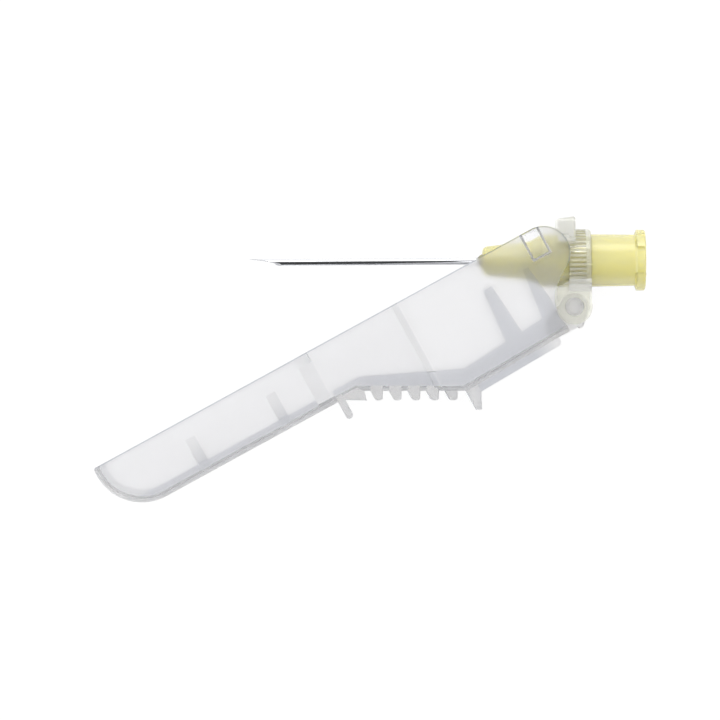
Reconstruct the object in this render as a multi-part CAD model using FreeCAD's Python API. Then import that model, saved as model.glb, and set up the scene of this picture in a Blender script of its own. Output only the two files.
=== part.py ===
import FreeCAD, Part
import math
import os

# Safety hypodermic needle, lying on its side. Millimetres.
# The origin is the centre of the luer mouth. +X points out of the mouth along the hub's axis,
# +Y is the side of the collar's lock tab, and +Z is up.

# Cannula, a 20 gauge tube
CANNULA_RADIUS = 0.45
CANNULA_BORE = 0.30
EXPOSED_LENGTH = 30.0
BEVEL_LENGTH = 4.0
GRIND_REACH = 12.0
LANCET_LENGTH = 1.9
LANCET_TURN = 38.0

# Luer socket, a six percent taper on diameter
LUER_MOUTH_RADIUS = 2.15
LUER_TAPER = 0.03
LUER_DEPTH = 9.0
FUNNEL_RADIUS = 1.1
FUNNEL_DEPTH = 10.4
STOP_DEPTH = 12.4
STOP_LAND = 0.5

# Hub, places measured from the luer mouth
FLANGE_RADIUS = 3.45
LUG_RADIUS = 3.9
LUG_LENGTH = 1.35
LUG_SLOPE = 0.25
LUG_GAP_HALF = 1.7
BARREL_RADIUS = 3.28
SHOULDER_RADIUS = 3.37
FRONT_RADIUS = 3.33
FRONT_END = 13.2
CONE_END = 14.7
NOSE_RADIUS = 2.5
NOSE_TIP_RADIUS = 1.9
NOSE_END = 20.8
NOSE_ROUND = 0.7
NOSE_ROUND_STEPS = 3
MOUTH_ROUND = 0.15
PAD_LENGTH = 0.8
PAD_HALF = 1.69
PAD_RISE = 0.22
BORE_CLEARANCE = 0.03
WELL_RADIUS = 0.95
WELL_DEPTH = 1.8
MENISCUS = 0.3

# Collar, places measured from the luer mouth
RING_REAR = 6.94
RING_LENGTH = 2.86
RING_RADIUS = 4.0
RIB_LENGTH = 2.17
RIB_DEPTH = 0.32
RIB_COUNT = 40
RIB_CREST = 0.4
RIB_FOOT = 0.8
RIM_ROUND = 0.25
SEAT_RADIUS = 3.10
SEAT_CLEARANCE = 0.045
SEAT_END_CLEARANCE = 0.08
TAB_REAR = 9.03
TAB_LENGTH = 2.21
TAB_HALF = 4.05
TAB_BOTTOM = 2.35
TAB_TOP_FRONT = 5.2
TAB_TOP_REAR = 5.55
TAB_ROUND = 0.9
TAB_EDGE = 0.2
TAB_CLEARANCE = 0.17
EAR_OUTER = 3.2
EAR_INNER = 1.9
EAR_RADIUS = 2.26
EAR_HOLE = 1.18
EAR_NECK = 2.4
EAR_SHOULDER = 3.3

# Hinge pin, placed from the luer mouth and the hub's axis
PIN_BEHIND = 9.13
PIN_BELOW = 5.95
HINGE_CLEARANCE = 0.05
KNUCKLE_GAP = 0.1
KNUCKLE_TOP_RADIUS = 1.75
KNUCKLE_RADIUS = 2.5
KNUCKLE_ARM = 3.3
KNUCKLE_TOE = 2.8
TOE_TURN = -95.0
TOE_WIDTH = 10.0
ARM_TOP = 0.7
ARM_SHOULDER_TURN = 135.0
HEEL_FRONT = 0.75
HEEL_RADIUS = 2.1
TRUNNION_SHY = 0.08
TRUNNION_CHAMFER = 0.3
OPEN_ANGLE = 28.35

# Sheath, closed, measured forward of the pin and above it
TIP_ROUND = 6.6
TIP_CENTRE = 57.3
SHEATH_TOP = 11.34
BLADE_HALF = 2.95
MID_HALF = 3.8
HEAD_HALF = 4.85
WALL = 0.7
BLADE_SPINE = 3.8
PAD_SPINE_FRONT = 29.33
PAD_SPINE_REAR = 17.2
HEAD_SPINE_FRONT = -2.8
HEAD_SPINE_REAR = -2.15
LEDGE_BLADE = 5.38
LEDGE_SLOPE_FRONT = 28.4
LEDGE_SLOPE_REAR = 16.2
LEDGE_HEAD_FRONT = -0.1
LEDGE_HEAD_REAR = 0.8
LEDGE_CHEEK = 2.6
LEDGE_WIDTH = 0.8
FLOOR = 1.0
STEP_A_FRONT = 34.7
STEP_A_REAR = 32.7
STEP_B_FRONT = 20.5
STEP_B_REAR = 19.55
HEAD_END = 4.3
CORNER = 1.4
EDGE_BREAK = 0.15

# Sheath head, closed, measured behind the pin and above it
DOME_RADIUS = 3.42
DOME_CENTRE = -0.3
CHIN_PLACE = (1.9, 5.28)
THROAT_PLACE = (-0.2, 3.95)
NECK_PLACE = (-1.2, 3.1)
NAPE_PLACE = (-1.98, 1.75)
NAPE_END = (-2.3, 0.2)
EAR_CUT_CLEARANCE = 0.22
POCKET_FRONT = 1.65
POCKET_REAR = -0.4
POCKET_BOTTOM = 7.8
POCKET_DEPTH = 0.42
POCKET_SLOPE = 0.3

# Finger pad. Its teeth stand on a line parallel to the rest plane of the hub's axis.
PAD_HALF_WIDTH = 3.6
TOOTH_COUNT = 5
TOOTH_PITCH = 2.38
TOOTH_ROOT = 1.58
TOOTH_HEIGHT = 1.2
TOOTH_LEAN = 0.65
TOOTH_ROUND = 0.4
TOOTH_START = 1.5
FRONT_STOP_FRONT = 32.3
FRONT_STOP_THICKNESS = 0.9
FRONT_STOP_BOTTOM = 1.24
FRONT_STOP_ROUND = 0.4
BLOCK_DROP = 0.9
BLOCK_TIP = 1.05
BLOCK_ROOT = 0.7
REAR_STOP_FRONT = 17.25
REAR_STOP_DEPTH = 3.0
REAR_STOP_ROOT = 1.6
REAR_STOP_TIP = 0.6
REAR_STOP_SLANT = 0.2
STRIP_HALF = 1.2
STRIP_DEPTH = 1.05
STRIP_FRONT = 16.0
STRIP_REAR = 3.6
STRIP_BEVEL = 0.35

# Ribs inside the sheath
RIB_CLEARANCE = 0.2
STIFFENER_HEIGHT = 1.35
TRAP_REARS = (38.75, 50.45)
TRAP_LENGTH = 1.35
TRAP_TOP = 8.9
TRAP_GAP_HALF = 1.05
NOSE_RIB_REAR = 8.1
NOSE_RIB_LENGTH = 1.2
NOSE_RIB_FLARE = 0.65
NOSE_RIB_TOP = 7.4
NOSE_BOX_BOTTOM = 5.5
NOSE_BOX_RISE = 0.3
THROAT_RIB_REAR = 2.9
THROAT_RIB_LENGTH = 0.7
THROAT_RIB_FLARE = 0.9
THROAT_RIB_TOP = 7.3
GATE_RADIUS = 1.6
GATE_DEPTH = 0.12
GATE_PLACE = (-5.7, 3.2)

# Worked out from the sizes above
V = FreeCAD.Vector
X_AXIS = V(1, 0, 0)
Z_AXIS = V(0, 0, 1)
ORIGIN = V(0, 0, 0)
BORE_RADIUS = CANNULA_RADIUS + BORE_CLEARANCE
RING_FRONT = RING_REAR + RING_LENGTH
RING_BORE = SEAT_RADIUS + SEAT_CLEARANCE
PIN_PLACE = V(-PIN_BEHIND, -PIN_BELOW, 0)
TRUNNION_RADIUS = EAR_HOLE - HINGE_CLEARANCE
KNUCKLE_HALF = EAR_INNER - KNUCKLE_GAP
EAR_CUT_RADIUS = EAR_RADIUS + EAR_CUT_CLEARANCE
TIP_CENTRE_Y = BLADE_SPINE + TIP_ROUND
LENGTH_MATCH = 0.01


def face(points):
    """A flat face inside a closed run of straight lines."""
    return Part.Face(Part.makePolygon(list(points) + [points[0]]))


def turned(profile):
    """A solid of revolution about the hub's axis, from (x, radius) points."""
    outline = face([V(x, r, 0) for x, r in profile])
    return outline.revolve(ORIGIN, X_AXIS, 360)


def box(x0, x1, y0, y1, z0, z1):
    """A box between two corners, given in either order."""
    low = V(min(x0, x1), min(y0, y1), min(z0, z1))
    return Part.makeBox(abs(x1 - x0), abs(y1 - y0), abs(z1 - z0), low)


def plate(points, z0, z1):
    """A plate cut to an outline in the XY plane, from z0 up to z1."""
    outline = face([V(x, y, z0) for x, y in points])
    return outline.extrude(V(0, 0, z1 - z0))


def both_sides(shape):
    """A shape and its mirror image in the XY plane."""
    return [shape, shape.mirror(ORIGIN, Z_AXIS)]


def fused(shapes):
    """One clean solid from several that meet."""
    whole = shapes[0].fuse(shapes[1:]) if len(shapes) > 1 else shapes[0]
    return whole.removeSplitter()


def between(x, points):
    """The height at x on a line through points, which run in order of x."""
    for (x0, y0), (x1, y1) in zip(points, points[1:]):
        if x <= x1:
            return y0 + (y1 - y0) * (x - x0) / (x1 - x0)
    return points[-1][1]


def facet(point, height, rise):
    """What grinding takes off the tube below a plane that falls rearward from the point."""
    low = height - GRIND_REACH * rise
    return plate(
        [
            (point - BEVEL_LENGTH, height + BEVEL_LENGTH * rise),
            (point + GRIND_REACH, low),
            (point - BEVEL_LENGTH, low),
        ],
        -2 * CANNULA_RADIUS,
        2 * CANNULA_RADIUS,
    )


def make_cannula():
    """Steel tube with a bevel that opens to -Y and two lancet facets at the point."""
    rear = -(STOP_DEPTH + STOP_LAND)
    point = -(NOSE_END + EXPOSED_LENGTH)
    length = rear - point
    tube = Part.makeCylinder(CANNULA_RADIUS, length, V(point, 0, 0), X_AXIS)
    tube = tube.cut(Part.makeCylinder(CANNULA_BORE, length, V(point, 0, 0), X_AXIS))
    tube = tube.cut(facet(point, CANNULA_RADIUS, 2 * CANNULA_RADIUS / BEVEL_LENGTH))
    lancet_height = CANNULA_RADIUS * math.cos(math.radians(LANCET_TURN))
    lancet = facet(point, lancet_height, lancet_height / LANCET_LENGTH)
    for turn in (-LANCET_TURN, LANCET_TURN):
        ground = lancet.copy()
        ground.rotate(ORIGIN, X_AXIS, turn)
        tube = tube.cut(ground)
    return tube


def nose_rim():
    """The nose's rounded rim as short slopes, from its side round to its flat end."""
    points = []
    for step in range(NOSE_ROUND_STEPS + 1):
        turn = 0.5 * math.pi * step / NOSE_ROUND_STEPS
        x = -NOSE_END + NOSE_ROUND * (1 - math.sin(turn))
        radius = NOSE_TIP_RADIUS - NOSE_ROUND * (1 - math.cos(turn))
        points.append((x, radius))
    return points


def hub_body():
    """The hub's outside, without its lugs."""
    seat_rear = RING_REAR - SEAT_END_CLEARANCE
    seat_front = RING_FRONT + SEAT_END_CLEARANCE
    return turned(
        [
            (0, 0),
            (0, FLANGE_RADIUS - MOUTH_ROUND),
            (-MOUTH_ROUND, FLANGE_RADIUS),
            (-LUG_LENGTH + LUG_SLOPE, FLANGE_RADIUS),
            (-LUG_LENGTH, BARREL_RADIUS),
            (-seat_rear, SHOULDER_RADIUS),
            (-seat_rear, SEAT_RADIUS),
            (-seat_front, SEAT_RADIUS),
            (-seat_front, FRONT_RADIUS),
            (-FRONT_END, FRONT_RADIUS),
            (-CONE_END, NOSE_RADIUS),
        ]
        + nose_rim()
        + [(-NOSE_END, 0)]
    )


def hub_lugs():
    """Two lugs of the luer lock, one to +Y and one to -Y, with a gap on each Z side."""
    band = turned(
        [
            (0, 0),
            (0, LUG_RADIUS - MOUTH_ROUND),
            (-MOUTH_ROUND, LUG_RADIUS),
            (-LUG_LENGTH + LUG_SLOPE, LUG_RADIUS),
            (-LUG_LENGTH, BARREL_RADIUS),
            (-LUG_LENGTH, 0),
        ]
    )
    gap = box(-LUG_LENGTH, 0, -LUG_GAP_HALF, LUG_GAP_HALF, -LUG_RADIUS, LUG_RADIUS)
    return band.cut(gap)


def hub_pads():
    """Two low grip pads on the barrel, behind the collar, one on each Z side."""
    rear = -(RING_REAR - SEAT_END_CLEARANCE) + PAD_LENGTH
    band = Part.makeCylinder(SHOULDER_RADIUS + PAD_RISE, PAD_LENGTH, V(rear, 0, 0), V(-1, 0, 0))
    reach = SHOULDER_RADIUS + PAD_RISE
    return band.common(box(rear, rear - PAD_LENGTH, -PAD_HALF, PAD_HALF, -reach, reach))


def hub_hollow():
    """Luer socket, funnel, the land that stops the cannula, its bore and the glue well."""
    luer_end_radius = LUER_MOUTH_RADIUS - LUER_TAPER * LUER_DEPTH
    land_radius = CANNULA_BORE + BORE_CLEARANCE
    return turned(
        [
            (0, 0),
            (0, LUER_MOUTH_RADIUS),
            (-LUER_DEPTH, luer_end_radius),
            (-FUNNEL_DEPTH, FUNNEL_RADIUS),
            (-STOP_DEPTH, land_radius),
            (-STOP_DEPTH - STOP_LAND, land_radius),
            (-STOP_DEPTH - STOP_LAND, BORE_RADIUS),
            (-NOSE_END + WELL_DEPTH, BORE_RADIUS),
            (-NOSE_END, WELL_RADIUS),
            (-NOSE_END, 0),
        ]
    )


def make_needle_hub():
    """Luer-lock hub, one moulding."""
    return fused([hub_body(), hub_lugs(), hub_pads()]).cut(hub_hollow())


def make_glue_bead():
    """Adhesive in the nose's well, with a low meniscus round the cannula."""
    bead = turned(
        [
            (-NOSE_END + WELL_DEPTH, 0),
            (-NOSE_END + WELL_DEPTH, BORE_RADIUS),
            (-NOSE_END, WELL_RADIUS),
            (-NOSE_END - MENISCUS, CANNULA_RADIUS + MENISCUS),
            (-NOSE_END - 2 * MENISCUS, CANNULA_RADIUS),
            (-NOSE_END - 2 * MENISCUS, 0),
        ]
    )
    length = WELL_DEPTH + 2 * MENISCUS
    return bead.cut(
        Part.makeCylinder(CANNULA_RADIUS, length, V(-NOSE_END - 2 * MENISCUS, 0, 0), X_AXIS)
    )


def collar_ring():
    """Ring with lengthwise grip ribs and a smooth rounded rim on the mouth side."""
    valley = RING_RADIUS - RIB_DEPTH
    pitch = 2 * math.pi / RIB_COUNT
    crest_half = 0.5 * RIB_CREST * pitch
    foot_half = 0.5 * RIB_FOOT * pitch
    outline = []
    for rib in range(RIB_COUNT):
        middle = rib * pitch
        for turn, radius in (
            (middle - foot_half, valley),
            (middle - crest_half, RING_RADIUS),
            (middle + crest_half, RING_RADIUS),
            (middle + foot_half, valley),
        ):
            outline.append(V(-RING_FRONT, radius * math.cos(turn), radius * math.sin(turn)))
    ribs = face(outline).extrude(V(RIB_LENGTH, 0, 0))
    rim = turned(
        [
            (-RING_FRONT + RIB_LENGTH, 0),
            (-RING_FRONT + RIB_LENGTH, RING_RADIUS),
            (-RING_REAR - RIM_ROUND, RING_RADIUS),
            (-RING_REAR, RING_RADIUS - RIM_ROUND),
            (-RING_REAR, 0),
        ]
    )
    return ribs.fuse(rim)


def collar_tab():
    """Lock tab across the top of the ring, wide enough to reach the sheath's pockets."""
    front = -(TAB_REAR + TAB_LENGTH)
    rear = -TAB_REAR
    block = box(front, rear, TAB_BOTTOM, TAB_TOP_REAR, -TAB_HALF, TAB_HALF)
    shoulders = [
        edge
        for edge in block.Edges
        if edge.BoundBox.YMin > TAB_BOTTOM and edge.BoundBox.ZLength < TAB_EDGE
    ]
    block = block.makeFillet(TAB_ROUND, shoulders)
    slope = plate(
        [
            (front - TAB_EDGE, TAB_TOP_FRONT),
            (front + TAB_EDGE, TAB_TOP_FRONT + TAB_EDGE / 2),
            (rear - TAB_EDGE, TAB_TOP_REAR),
            (rear, TAB_TOP_REAR - TAB_EDGE),
            (rear + TAB_EDGE, TAB_TOP_REAR + TAB_EDGE),
            (front - TAB_EDGE, TAB_TOP_REAR + TAB_EDGE),
        ],
        -TAB_HALF,
        TAB_HALF,
    )
    return block.cut(slope)


def collar_ear():
    """One ear of the hinge, on the +Z side, from the ring down round the pin."""
    rear = -RING_REAR
    front = -RING_FRONT
    pin_x = -PIN_BEHIND
    pin_y = -PIN_BELOW
    neck = [
        (rear, pin_y),
        (rear, pin_y + EAR_SHOULDER),
        (front, pin_y + EAR_SHOULDER),
        (pin_x - EAR_RADIUS, pin_y + EAR_NECK),
        (pin_x - EAR_RADIUS, pin_y),
    ]
    thickness = EAR_OUTER - EAR_INNER
    disc = Part.makeCylinder(EAR_RADIUS, thickness, V(pin_x, pin_y, EAR_INNER), Z_AXIS)
    return disc.fuse(plate(neck, EAR_INNER, EAR_OUTER))


def make_swivel_collar():
    """Turning collar, one moulding: ring, lock tab, ear block and two ears."""
    block = box(-RING_FRONT, -RING_REAR, -RING_RADIUS, -TAB_BOTTOM, -EAR_OUTER, EAR_OUTER)
    collar = fused([collar_ring(), collar_tab(), block] + both_sides(collar_ear()))
    long_bore = Part.makeCylinder(
        RING_BORE, RING_LENGTH, V(-RING_FRONT, 0, 0), X_AXIS
    )
    front_room = Part.makeCylinder(
        FRONT_RADIUS + TAB_CLEARANCE, TAB_LENGTH, V(-RING_FRONT - TAB_LENGTH, 0, 0), X_AXIS
    )
    holes = Part.makeCylinder(
        EAR_HOLE, 2 * EAR_OUTER, PIN_PLACE - V(0, 0, EAR_OUTER), Z_AXIS
    )
    return collar.cut([long_bore, front_room, holes])


def outline_half():
    """The sheath's half width along its length, as points."""
    return [
        (-TIP_CENTRE - 2 * TIP_ROUND, BLADE_HALF),
        (-STEP_A_FRONT, BLADE_HALF),
        (-STEP_A_REAR, MID_HALF),
        (-STEP_B_FRONT, MID_HALF),
        (-STEP_B_REAR, HEAD_HALF),
        (HEAD_END, HEAD_HALF),
    ]


def outline_spine(rise):
    """The sheath's underside behind the tip, as points, lifted by rise."""
    return [
        (-TIP_CENTRE, BLADE_SPINE + rise),
        (-PAD_SPINE_FRONT, BLADE_SPINE + rise),
        (-PAD_SPINE_REAR, HEAD_SPINE_FRONT + rise),
        (HEAD_END, HEAD_SPINE_REAR + rise),
    ]


def outline_ledge():
    """The line inside the sheath below which its walls are thicker, as points."""
    return [
        (-TIP_CENTRE, LEDGE_BLADE),
        (-LEDGE_SLOPE_FRONT, LEDGE_BLADE),
        (-LEDGE_SLOPE_REAR, LEDGE_HEAD_FRONT),
        (-THROAT_RIB_REAR, LEDGE_HEAD_REAR),
        (-THROAT_RIB_REAR + THROAT_RIB_FLARE, LEDGE_CHEEK),
        (HEAD_END, LEDGE_CHEEK),
    ]


def half_width(x):
    """Half of the sheath's outer width at x."""
    return between(x, outline_half())


def spine(x):
    """Height of the sheath's underside at x."""
    return between(x, outline_spine(0))


def ledge(x):
    """Height of the ledge at x."""
    return between(x, outline_ledge())


def side_block(underside, top):
    """A wide block with the sheath's side outline: flat top, round tip, given underside."""
    radius = TIP_CENTRE_Y - underside[0][1]
    down = 1.5 * math.pi
    end = math.pi - math.asin((top - TIP_CENTRE_Y) / radius)

    def rim(turn):
        return V(
            -TIP_CENTRE + radius * math.cos(turn), TIP_CENTRE_Y + radius * math.sin(turn), 0
        )

    path = [V(x, y, 0) for x, y in underside] + [V(HEAD_END, top, 0), rim(end)]
    edges = [Part.Arc(rim(end), rim(0.5 * (down + end)), rim(down)).toShape()]
    for start, finish in zip(path, path[1:]):
        edges.append(Part.makeLine(start, finish))
    outline = Part.Face(Part.Wire(edges))
    outline.translate(V(0, 0, -2 * HEAD_HALF))
    return outline.extrude(V(0, 0, 4 * HEAD_HALF))


def plan_block(inset):
    """A tall block with the sheath's plan outline, drawn in by inset on each side."""
    low = 2 * HEAD_SPINE_FRONT
    high = 2 * SHEATH_TOP
    side = [V(x, low, half - inset) for x, half in outline_half()]
    other = [V(point.x, point.y, -point.z) for point in reversed(side)]
    return face(side + other).extrude(V(0, high - low, 0))


def on_lower_corner(edge):
    """Whether an edge runs along the sheath's underside or tip, at one of its sides."""
    middle = edge.valueAt(0.5 * (edge.FirstParameter + edge.LastParameter))
    if abs(abs(middle.z) - half_width(middle.x)) > LENGTH_MATCH:
        return False
    if middle.x > -TIP_CENTRE:
        return abs(middle.y - spine(middle.x)) < LENGTH_MATCH
    from_centre = math.hypot(middle.x + TIP_CENTRE, middle.y - TIP_CENTRE_Y)
    return abs(from_centre - TIP_ROUND) < LENGTH_MATCH


def on_open_rim(edge):
    """Whether an edge runs along the outside of the open top."""
    middle = edge.valueAt(0.5 * (edge.FirstParameter + edge.LastParameter))
    if abs(middle.y - SHEATH_TOP) > LENGTH_MATCH:
        return False
    return abs(abs(middle.z) - half_width(middle.x)) < LENGTH_MATCH


def sheath_outside():
    """The sheath's outer form: lower corners rounded and the open rim's outer edge broken."""
    bar = side_block(outline_spine(0), SHEATH_TOP).common(plan_block(0))
    bar = bar.makeFillet(CORNER, [edge for edge in bar.Edges if on_lower_corner(edge)])
    return bar.makeChamfer(EDGE_BREAK, [edge for edge in bar.Edges if on_open_rim(edge)])


def sheath_inside():
    """The open channel: wide above the ledge, narrower down to the floor, and no ledge where
    the blade widens in front of the finger pad."""
    over = SHEATH_TOP + WALL
    deep = side_block(outline_spine(FLOOR), over)
    wide = side_block(outline_ledge(), over).common(plan_block(WALL))
    narrow = deep.common(plan_block(WALL + LEDGE_WIDTH))
    widening = box(-STEP_A_FRONT, -FRONT_STOP_FRONT, 0, over, -HEAD_HALF, HEAD_HALF)
    return [wide, narrow, deep.common(plan_block(WALL)).common(widening)]


def arc(points):
    """An edge along the arc through three places in the XY plane."""
    return Part.Arc(*[V(x, y, 0) for x, y in points]).toShape()


def head_profile():
    """The sheath's side outline: dome over the collar, chin, neck and nape by the ears."""
    lean = math.sqrt(0.5) * DOME_RADIUS
    centre_y = SHEATH_TOP - DOME_RADIUS
    top = (DOME_CENTRE, SHEATH_TOP)
    far = -TIP_CENTRE - 2 * TIP_ROUND
    low = 2 * HEAD_SPINE_FRONT
    path = [NAPE_END, (-KNUCKLE_HALF, low), (far, low), (far, SHEATH_TOP), top]
    edges = [
        arc([top, (DOME_CENTRE + lean, centre_y + lean), CHIN_PLACE]),
        arc([CHIN_PLACE, THROAT_PLACE, NECK_PLACE]),
        arc([NECK_PLACE, NAPE_PLACE, NAPE_END]),
    ]
    for (x0, y0), (x1, y1) in zip(path, path[1:]):
        edges.append(Part.makeLine(V(x0, y0, 0), V(x1, y1, 0)))
    outline = Part.Face(Part.Wire(edges))
    outline.translate(V(0, 0, -2 * HEAD_HALF))
    return outline.extrude(V(0, 0, 4 * HEAD_HALF))


def wall_rib(rear, length, flare, top, gap_half, outer_half):
    """A pair of ribs on the side walls, wider at the foot, standing in to gap_half."""
    front = -rear - length
    foot = ledge(-rear) - LEDGE_WIDTH
    outline = [
        (-rear, top),
        (front, top),
        (front - flare, foot),
        (-rear + flare, foot),
    ]
    return both_sides(plate(outline, gap_half, outer_half - WALL / 2))


def trap_rib(rear):
    """A pair of needle traps in the blade: ribs that stand in at the foot and fade upwards."""
    front = -rear - TRAP_LENGTH
    wall_face = BLADE_HALF - WALL
    section = face(
        [
            V(front, LEDGE_BLADE - LEDGE_WIDTH, TRAP_GAP_HALF),
            V(front, LEDGE_BLADE, TRAP_GAP_HALF),
            V(front, TRAP_TOP, wall_face),
            V(front, TRAP_TOP, wall_face + WALL / 2),
            V(front, LEDGE_BLADE - LEDGE_WIDTH, wall_face + WALL / 2),
        ]
    )
    return both_sides(section.extrude(V(TRAP_LENGTH, 0, 0)))


def inner_ribs():
    """Every rib inside the sheath."""
    gap_half = FRONT_RADIUS + RIB_CLEARANCE
    ribs = []
    for rear in TRAP_REARS:
        ribs += trap_rib(rear)
    ribs += wall_rib(
        NOSE_RIB_REAR,
        NOSE_RIB_LENGTH,
        NOSE_RIB_FLARE,
        NOSE_RIB_TOP,
        gap_half,
        HEAD_HALF,
    )
    nose_box = box(
        -NOSE_RIB_REAR - NOSE_RIB_LENGTH,
        -NOSE_RIB_REAR,
        NOSE_BOX_BOTTOM,
        NOSE_RIB_TOP,
        gap_half - NOSE_BOX_RISE,
        HEAD_HALF - WALL / 2,
    )
    ribs += both_sides(nose_box)
    ribs += wall_rib(
        THROAT_RIB_REAR,
        THROAT_RIB_LENGTH,
        THROAT_RIB_FLARE,
        THROAT_RIB_TOP,
        gap_half,
        HEAD_HALF,
    )
    return ribs


def along_pad(distance, height):
    """A point on the pad's own line: distance rearward from its start, height below it."""
    start_x = -PAD_SPINE_FRONT
    start_y = BLADE_SPINE
    slope = math.atan2(BLADE_SPINE - HEAD_SPINE_FRONT, PAD_SPINE_FRONT - PAD_SPINE_REAR)
    x = start_x + distance * math.cos(slope) - height * math.sin(slope)
    y = start_y - distance * math.sin(slope) - height * math.cos(slope)
    return (x, y)


def pad_tooth(start):
    """One tooth of the finger pad: a leaning rib with a round end, across the pad."""
    root = -2 * TOOTH_ROUND
    outline = [
        along_pad(start, root),
        along_pad(start, 0),
        along_pad(start + TOOTH_LEAN, TOOTH_HEIGHT),
        along_pad(start + TOOTH_ROOT, TOOTH_HEIGHT),
        along_pad(start + TOOTH_ROOT, root),
    ]
    tooth = plate(outline, -PAD_HALF_WIDTH, PAD_HALF_WIDTH)
    low = min(y for x, y in outline)
    ends = [
        edge
        for edge in tooth.Edges
        if edge.BoundBox.ZLength > PAD_HALF_WIDTH
        and edge.CenterOfMass.y < low + TOOTH_ROOT - TOOTH_LEAN
    ]
    return tooth.makeFillet(TOOTH_ROUND, ends)


def finger_pad():
    """Front stop, block, teeth, rear stop and the strip behind them, under the spine."""
    across = (-PAD_HALF_WIDTH, PAD_HALF_WIDTH)
    stop_rear = -FRONT_STOP_FRONT + FRONT_STOP_THICKNESS
    front_stop = plate(
        [
            (-FRONT_STOP_FRONT, LEDGE_BLADE - LEDGE_WIDTH),
            (-FRONT_STOP_FRONT, FRONT_STOP_BOTTOM),
            (stop_rear, FRONT_STOP_BOTTOM),
            (stop_rear, LEDGE_BLADE - LEDGE_WIDTH),
        ],
        *across,
    )
    lips = [
        edge
        for edge in front_stop.Edges
        if edge.BoundBox.ZLength > PAD_HALF_WIDTH and edge.BoundBox.YMax < BLADE_SPINE
    ]
    front_stop = front_stop.makeFillet(FRONT_STOP_ROUND, lips)
    block_start = along_pad(0, TOOTH_HEIGHT)
    block = plate(
        [
            (stop_rear, BLADE_SPINE + FLOOR / 2),
            (stop_rear, block_start[1] + BLOCK_DROP),
            along_pad(BLOCK_TIP, TOOTH_HEIGHT),
            along_pad(BLOCK_ROOT, 0),
            (-PAD_SPINE_FRONT, BLADE_SPINE + FLOOR / 2),
        ],
        *across,
    )
    teeth = []
    for tooth in range(TOOTH_COUNT):
        teeth.append(pad_tooth(TOOTH_START + tooth * TOOTH_PITCH))
    rear_root = -REAR_STOP_FRONT
    rear_y = spine(rear_root)
    rear_stop = plate(
        [
            (rear_root, rear_y + FLOOR / 2),
            (rear_root, rear_y - REAR_STOP_DEPTH + REAR_STOP_SLANT),
            (rear_root + REAR_STOP_TIP, rear_y - REAR_STOP_DEPTH),
            (rear_root + REAR_STOP_ROOT, rear_y - STRIP_DEPTH),
            (rear_root + REAR_STOP_ROOT, rear_y + FLOOR / 2),
        ],
        *across,
    )
    strip = plate(
        [
            (-STRIP_FRONT, spine(-STRIP_FRONT) + FLOOR / 2),
            (-STRIP_FRONT, spine(-STRIP_FRONT) - STRIP_DEPTH),
            (-STRIP_REAR - STRIP_BEVEL, spine(-STRIP_REAR) - STRIP_DEPTH),
            (-STRIP_REAR, spine(-STRIP_REAR) - STRIP_DEPTH + STRIP_BEVEL),
            (-STRIP_REAR, spine(-STRIP_REAR) + FLOOR / 2),
        ],
        -STRIP_HALF,
        STRIP_HALF,
    )
    return [front_stop, block, rear_stop, strip] + teeth


def round_pin(radius, degrees):
    """A place at a radius and a turn about the pin."""
    turn = math.radians(degrees)
    return (radius * math.cos(turn), radius * math.sin(turn))


def knuckle():
    """The hinge's middle: an arm from the spine, an eye round the pin and two trunnions."""
    across = (-KNUCKLE_HALF, KNUCKLE_HALF)
    eye = Part.makeCylinder(
        KNUCKLE_TOP_RADIUS, 2 * KNUCKLE_HALF, V(0, 0, -KNUCKLE_HALF), Z_AXIS
    )
    arm = plate(
        [
            (-KNUCKLE_ARM, ARM_TOP),
            (-KNUCKLE_ARM, -KNUCKLE_RADIUS),
            (-HEEL_FRONT, -KNUCKLE_RADIUS),
            round_pin(KNUCKLE_TOE, TOE_TURN - TOE_WIDTH),
            round_pin(KNUCKLE_TOE, TOE_TURN),
            round_pin(HEEL_RADIUS, TOE_TURN + 2 * TOE_WIDTH),
            round_pin(KNUCKLE_TOP_RADIUS, TOE_TURN + 5 * TOE_WIDTH),
            (0, KNUCKLE_TOP_RADIUS),
            round_pin(KNUCKLE_TOP_RADIUS, ARM_SHOULDER_TURN),
        ],
        *across,
    )
    root = -KNUCKLE_ARM - KNUCKLE_TOP_RADIUS
    tail = plate(
        [
            (root, spine(root) + FLOOR),
            (root, spine(root)),
            (-KNUCKLE_ARM, -KNUCKLE_RADIUS),
            (-KNUCKLE_ARM, ARM_TOP),
        ],
        *across,
    )
    return [eye, arm, tail, turned_pin(EAR_OUTER - TRUNNION_SHY)]


def turned_pin(reach):
    """Both trunnions as one bar through the eye, with chamfered ends."""
    small = TRUNNION_RADIUS - TRUNNION_CHAMFER
    outline = face(
        [
            V(0, 0, -reach),
            V(small, 0, -reach),
            V(TRUNNION_RADIUS, 0, -reach + TRUNNION_CHAMFER),
            V(TRUNNION_RADIUS, 0, reach - TRUNNION_CHAMFER),
            V(small, 0, reach),
            V(0, 0, reach),
        ]
    )
    return outline.revolve(ORIGIN, Z_AXIS, 360)


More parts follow.
